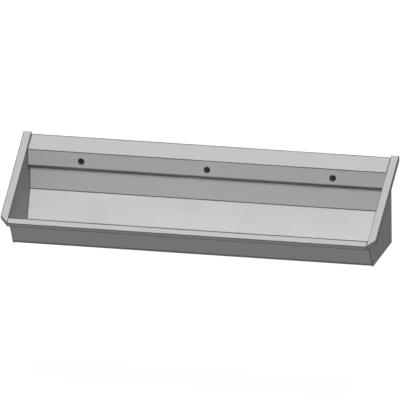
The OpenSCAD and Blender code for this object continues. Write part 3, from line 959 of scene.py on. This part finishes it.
def lathe(bm, profile, centre, steps):
    """Spins a closed outline of (radius, height) points round a vertical line."""
    verts = [bm.verts.new(centre + Vector((r, 0, z))) for r, z in profile]
    edges = [bm.edges.new(pair) for pair in zip(verts, verts[1:] + verts[:1])]
    spun(bm, verts + edges, centre, math.tau, steps)


def thread(bm, centre, root, crest, low, high, pitch, steps):
    """A thread's ridge, wound round a vertical core."""
    turns = (high - low) / pitch - 1
    ridge = ((root, low), (crest, low + pitch / 2), (root, low + pitch))
    start = add_face(bm, *(centre + Vector((reach, 0, level)) for reach, level in ridge))
    count = round(turns * steps)
    spun(bm, [start], centre, math.tau * turns, count, turns * pitch / count)


def circle(bm, centre, radius, level):
    """Draws a level circle and returns its edges."""
    place = Matrix.Translation(centre + UPWARDS * level)
    return edges_of(bmesh.ops.create_circle(bm, segments=ROUND_STEPS, radius=radius, matrix=place)["verts"])


def put(v, centre, reach, level):
    """Moves a vertex straight out from a vertical line, to a reach and a level."""
    out = Vector((v.co.x - centre.x, v.co.y - centre.y, 0)).normalized()
    v.co = centre + out * reach + UPWARDS * level


def rod(bm, centre, radius, low, high, pitch):
    """A threaded rod with chamfered ends."""
    depth = ROD_DEPTH * pitch
    root = radius - depth
    rim = circle(bm, centre, root - depth, low)
    bmesh.ops.edgenet_fill(bm, edges=rim)
    for reach, level in ((root, low + depth), (root, high - depth), (root - depth, high)):
        verts, rim = grown(bm, rim)
        for v in verts:
            put(v, centre, reach, level)
    bmesh.ops.edgenet_fill(bm, edges=rim)
    thread(bm, centre, root - depth / 8, radius, low + depth / 2, high - depth / 2, pitch, ROUND_STEPS)


def hexagon(bm, centre, across, low, high, bore=0.0):
    """A hexagon along Z with chamfered corners and, in a nut, a round bore."""
    side, flat = math.pi / 3, across / 2
    slant = (across / math.sqrt(3) - flat) * math.tan(side / 2)
    first = rim = circle(bm, centre, flat, low)
    for level, at_corner in ((low + slant, True), (high - slant, True), (high, False)):
        verts, rim = grown(bm, rim)
        for v in verts:
            out = v.co - centre
            turn = math.atan2(out.y, out.x) % side - side / 2
            put(v, centre, flat / math.cos(turn) if at_corner else flat, level)
    if not bore:
        for end in (first, rim):
            bmesh.ops.edgenet_fill(bm, edges=end)
        return
    low_verts, low_rim = grown(bm, first)
    high_verts, high_rim = grown(bm, rim)
    for v in low_verts + high_verts:
        put(v, centre, bore, v.co.z)
    bmesh.ops.bridge_loops(bm, edges=low_rim + high_rim)


def turned_piece(name, bm, node, material):
    """Finishes a turned piece, which stands for its CAD node."""
    bmesh.ops.remove_doubles(bm, verts=bm.verts, dist=MERGED)
    bmesh.ops.recalc_face_normals(bm, faces=bm.faces)
    round_piece(name, bm, node, material)


class TROUGH_OT_waste(bpy.types.Operator):
    """Turn the waste's body with its thread, the back nut, the grid and the grid's screw"""

    bl_idname = "trough.waste"
    bl_label = "Waste"

    def execute(self, context):
        f = fittings()
        centre = (TAIL_LOW + TAIL_HIGH) / 2 * Vector((1, 1, 0))
        flange, top, foot = (TAIL_HIGH.x - TAIL_LOW.x) / 2, TAIL_HIGH.z, TAIL_LOW.z
        under, floor = top - f.flange_thickness, GRID_FOOT
        crest, root = f.tail_radius, f.tail_radius - f.thread_depth
        bore, seat = f.tail_bore, f.grid_seat_radius
        edge, soft = f.flange_edge, f.flange_edge / 2
        arc = ARC_MIDDLE * edge
        bm = bmesh.new()
        lathe(bm, [
            (bore, foot + soft), (bore + soft, foot), (root - soft, foot), (root, foot + soft), (root, under),
            (flange - soft, under), (flange, under + soft), (flange, top - edge), (flange - arc, top - arc),
            (flange - edge, top), (seat + soft, top), (seat, top - soft), (seat, floor),
            (bore + soft, floor), (bore, floor - soft),
        ], centre, 4 * ROUND_STEPS)
        start, sunk = foot + f.thread_depth, root - f.thread_depth / 10
        thread(bm, centre, sunk, crest, start, NUT_HIGH.z, f.thread_pitch, 2 * ROUND_STEPS)
        turned_piece("waste_body_piece", bm, "waste_body", "fittings_steel")

        bm = bmesh.new()
        place = Matrix.Translation(centre + UPWARDS * (floor - f.bar_height / 2))
        size = Matrix.Diagonal((2 * bore, f.bar_width, f.bar_height, 1))
        bmesh.ops.create_cube(bm, size=1.0, matrix=place @ size)
        bevel(bm, bm.edges[:], soft, EDGE_STEPS)
        turned_piece("waste_bar", bm, "waste_body", "fittings_steel")

        bm = bmesh.new()
        hexagon(bm, centre, NUT_HIGH.y - NUT_LOW.y, NUT_LOW.z, NUT_HIGH.z, crest)
        turned_piece("waste_nut_piece", bm, "waste_nut", "brass")
        softened(("strainer_grid", "strainer_screw"), f.grid_edge, "fittings_steel")
        return {"FINISHED"}


class TROUGH_OT_fasteners(bpy.types.Operator):
    """Thread the studs, and make their washers and nuts and the earth tag's fasteners"""

    bl_idname = "trough.fasteners"
    bl_label = "Fasteners"

    def execute(self, context):
        f = fittings()
        low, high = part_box("trough_studs")
        under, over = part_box("stud_nuts")
        radius = f.stud_radius
        studs, nuts = bmesh.new(), bmesh.new()
        for x in (low.x + radius, high.x - radius):
            for y in (low.y + radius, high.y - radius):
                rod(studs, Vector((x, y, 0)), radius, low.z, high.z, f.stud_pitch)
                hexagon(nuts, Vector((x, y, 0)), ACROSS_FLATS * radius, under.z, over.z, radius)
        turned_piece("threaded_studs", studs, "trough_studs", "fittings_steel")
        turned_piece("hexagon_nuts", nuts, "stud_nuts", "fittings_steel")
        softened(("stud_washers",), f.cut_edge / 2, "fittings_steel")

        low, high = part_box("earth_screw")
        nut_low, nut_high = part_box("earth_nut")
        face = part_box("earth_washer")[0].y
        radius = f.earth_radius
        lying = Matrix.Translation(((low.x + high.x) / 2, 0, (low.z + high.z) / 2))
        lying @= Matrix.Rotation(-math.pi / 2, 4, "X")
        screw, nut = bmesh.new(), bmesh.new()
        hexagon(screw, Vector(), ACROSS_FLATS * radius, low.y, face)
        rod(screw, Vector(), radius, face - f.cut_edge, high.y, f.earth_pitch)
        hexagon(nut, Vector(), ACROSS_FLATS * radius, nut_low.y, nut_high.y, radius)
        for bm, node in ((screw, "earth_screw"), (nut, "earth_nut")):
            bmesh.ops.transform(bm, matrix=lying, verts=bm.verts)
            turned_piece(f"{node}_piece", bm, node, "brass")
        softened(("earth_washer",), f.cut_edge / 4, "brass")
        return {"FINISHED"}


# ---------- Stage ----------

# The front lamp's light passes these sheets, which would throw a shadow on the slope, the wall and the front
LET_THROUGH = ("bowl_sheet", "left_end_sheet", "right_end_sheet")
# It stays off these pieces, which would stand in the bowl's shadow
UNDER_BOWL = ["front_stiffener_piece", "threaded_studs", "hexagon_nuts"]
UNDER_BOWL += [f"{side}_{part}_piece" for side in ("left", "right") for part in ("bracket", "sound_pad")]


def make_floor():
    """A pale floor that takes the shadow, keeps part of its white, and throws little light up."""
    f, v = finishes(), view()
    n = Nodes(bpy.data.materials.new("pale_floor"))
    dull = n.tree.nodes["Principled BSDF"]
    n.feed(dull, {"Base Color": (*f.floor_bounce, 1.0), "Roughness": 0.9, "Specular IOR Level": 0.0})
    lit = n.add("ShaderNodeBsdfDiffuse", {"Color": (*f.backdrop, 1.0)})
    white = n.add("ShaderNodeEmission", {"Strength": v.floor_white})
    shaded = n.add("ShaderNodeAddShader", {0: lit["BSDF"], 1: white["Emission"]})
    n.shown_white(dull.outputs["BSDF"], shaded["Shader"], "Material Output")
    bm = bmesh.new()
    bmesh.ops.create_grid(bm, x_segments=1, y_segments=1, size=v.floor_half)
    bmesh.ops.translate(bm, vec=UPWARDS * (END_LOW.z - v.floor_drop), verts=bm.verts)
    mesh_object("floor", bm, "pale_floor")


def make_world():
    """Faint even light, in front of white."""
    world = bpy.data.worlds.new("studio")
    n = Nodes(world)
    even = n.tree.nodes["Background"]
    n.feed(even, {"Color": (1, 1, 1, 1), "Strength": view().ambient})
    white = n.add("ShaderNodeBackground", {"Color": (1, 1, 1, 1), "Strength": 1.0})
    n.shown_white(even.outputs["Background"], white["Background"], "World Output")
    bpy.context.scene.world = world


def facing(elevation, azimuth):
    """Turn of a camera or lamp that points at the trough, from an azimuth to the right of the front."""
    return Matrix.Rotation(azimuth, 4, "Z") @ Matrix.Rotation(math.pi / 2 - elevation, 4, "X")


def add_sun(name, strength, elevation, azimuth, softness):
    """A distant soft lamp."""
    lamp = bpy.data.lights.new(name, "SUN")
    lamp.energy = strength
    lamp.angle = softness
    sun = bpy.data.objects.new(name, lamp)
    sun.matrix_world = facing(elevation, azimuth)
    bpy.context.scene.collection.objects.link(sun)
    return sun


def without(name, pieces):
    """A collection that tells a lamp to leave pieces out."""
    left_out = bpy.data.collections.new(name)
    for piece in pieces:
        left_out.objects.link(bpy.data.objects[piece])
    for item in left_out.collection_objects:
        item.light_linking.link_state = "EXCLUDE"
    return left_out


def make_lamps():
    v = view()
    turn = v.front_azimuth
    front = add_sun("front_lamp", v.front_strength, v.front_elevation, turn, v.front_softness)
    front.light_linking.blocker_collection = without("let_through", LET_THROUGH)
    front.light_linking.receiver_collection = without("under_bowl", UNDER_BOWL)
    add_sun("top_lamp", v.top_strength, v.top_elevation, turn, v.lamp_softness)
    add_sun("rear_lamp", v.rear_strength, v.front_elevation, math.pi - turn, v.lamp_softness)


# Width and height of the picture in pixels, the camera's distance from its plane, and how far the camera sees
PICTURE, CAMERA_BACK, CAMERA_REACH = 400, 6.0, 60.0


def make_camera():
    """An even view without perspective, tilted as the picture is, with one corner on its pixel."""
    v, s = view(), sizes()
    turn = facing(v.elevation, v.azimuth) @ Matrix.Rotation(-v.roll, 4, "Z")
    right, up, back = (turn.col[i].to_3d() for i in range(3))
    corner = Vector((s.inner_length / 2 + s.sheet, 0, END_LOW.z))
    metres = v.picture_width / PICTURE
    centre = corner - right * (v.corner_u - PICTURE / 2) * metres + up * (v.corner_v - PICTURE / 2) * metres
    data = bpy.data.cameras.new("camera")
    data.type = "ORTHO"
    data.ortho_scale = v.picture_width
    data.clip_end = CAMERA_REACH
    camera = bpy.data.objects.new("camera", data)
    camera.matrix_world = Matrix.Translation(centre + back * CAMERA_BACK) @ turn
    bpy.context.scene.collection.objects.link(camera)
    bpy.context.scene.camera = camera


class TROUGH_OT_stage(bpy.types.Operator):
    """Set the floor, the lamps, the world and the camera"""

    bl_idname = "trough.stage"
    bl_label = "Stage"

    def execute(self, context):
        make_floor()
        make_world()
        make_lamps()
        make_camera()
        context.scene.view_settings.view_transform = "Standard"
        return {"FINISHED"}


# ---------- Add-on ----------


class TROUGH_PT_panel(bpy.types.Panel):
    """The trough's pieces, in the order in which they are made"""

    bl_idname = "TROUGH_PT_panel"
    bl_label = "Wash trough"
    bl_space_type = "VIEW_3D"
    bl_region_type = "UI"
    bl_category = "Trough"

    def draw(self, context):
        for operator in OPERATORS:
            self.layout.operator(operator.bl_idname)


GROUPS = {
    "trough_sizes": TroughSizes,
    "trough_fittings": FittingSizes,
    "trough_finishes": Finishes,
    "trough_view": View,
}
OPERATORS = [
    TROUGH_OT_finishes,
    TROUGH_OT_bowl,
    TROUGH_OT_hood,
    TROUGH_OT_ends,
    TROUGH_OT_welds,
    TROUGH_OT_rails,
    TROUGH_OT_mats,
    TROUGH_OT_waste,
    TROUGH_OT_fasteners,
    TROUGH_OT_stage,
]


def register():
    for name, group in GROUPS.items():
        bpy.utils.register_class(group)
        setattr(bpy.types.Scene, name, bpy.props.PointerProperty(type=group))
    for cls in (*OPERATORS, TROUGH_PT_panel):
        bpy.utils.register_class(cls)


def unregister():
    for cls in (TROUGH_PT_panel, *reversed(OPERATORS)):
        bpy.utils.unregister_class(cls)
    for name, group in reversed(GROUPS.items()):
        delattr(bpy.types.Scene, name)
        bpy.utils.unregister_class(group)


def main():
    register()
    bpy.ops.trough.finishes()
    bpy.ops.trough.bowl()
    bpy.ops.trough.hood()
    bpy.ops.trough.ends()
    bpy.ops.trough.welds()
    bpy.ops.trough.rails()
    bpy.ops.trough.mats()
    bpy.ops.trough.waste()
    bpy.ops.trough.fasteners()
    bpy.ops.trough.stage()


if __name__ == "__main__":
    main()
